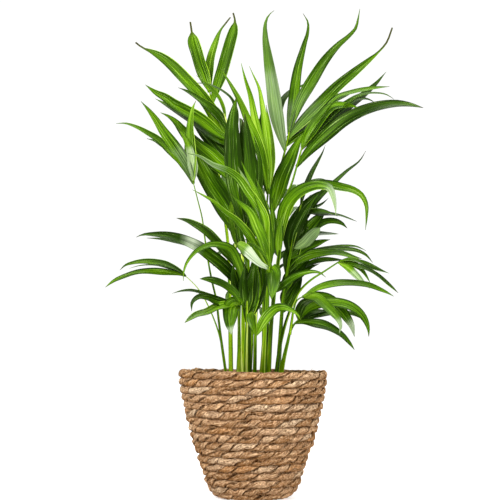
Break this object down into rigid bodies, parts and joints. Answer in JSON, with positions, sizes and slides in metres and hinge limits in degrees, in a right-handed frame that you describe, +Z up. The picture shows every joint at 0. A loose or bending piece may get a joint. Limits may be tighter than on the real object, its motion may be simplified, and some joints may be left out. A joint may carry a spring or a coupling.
{
  "type": "potted palm in basket",
  "caption": "Potted areca palm with slender stems and arching feather leaves, standing in a round tapered basket of coiled rope.",
  "frame": {"origin": "centre of the basket's flat bottom, on the surface that it stands on", "axes": "+Z up along the basket's axis, +X to the right as seen from the front, -Y towards the front"},
  "size_m": [0.4185, 0.4201, 0.6911],
  "materials": {
    "seagrass_rope": "matte twisted seagrass",
    "clear_foil": "thin translucent film",
    "dark_plastic": "satin",
    "potting_soil": "crumbly peat and bark",
    "palm_leaf": "glossy leaf"
  },
  "bodies": {
    "root": {"basket": "seagrass_rope", "liner": "clear_foil", "grow_pot": "dark_plastic", "soil": "potting_soil", "leafy_stem_low_front": "palm_leaf", "leafy_stem_low_left": "palm_leaf", "leafy_stem_front_centre": "palm_leaf", "leafy_stem_left_arch": "palm_leaf", "leafy_stem_low_right": "palm_leaf", "leafy_stem_centre": "palm_leaf", "leafy_stem_far_left": "palm_leaf", "leafy_stem_right_arch": "palm_leaf", "leafy_stem_upper_left": "palm_leaf", "leafy_stem_spear": "palm_leaf", "leafy_stem_right_whip": "palm_leaf", "leafy_stem_top_right": "palm_leaf", "leafy_stem_top_left": "palm_leaf", "leafy_stem_right_dark": "palm_leaf", "leafy_stem_back_left": "palm_leaf", "leafy_stem_back_middle": "palm_leaf", "leafy_stem_back_right": "palm_leaf", "leafy_stem_back_low": "palm_leaf", "leafy_stem_back_high": "palm_leaf"}
  },
  "joints": []
}
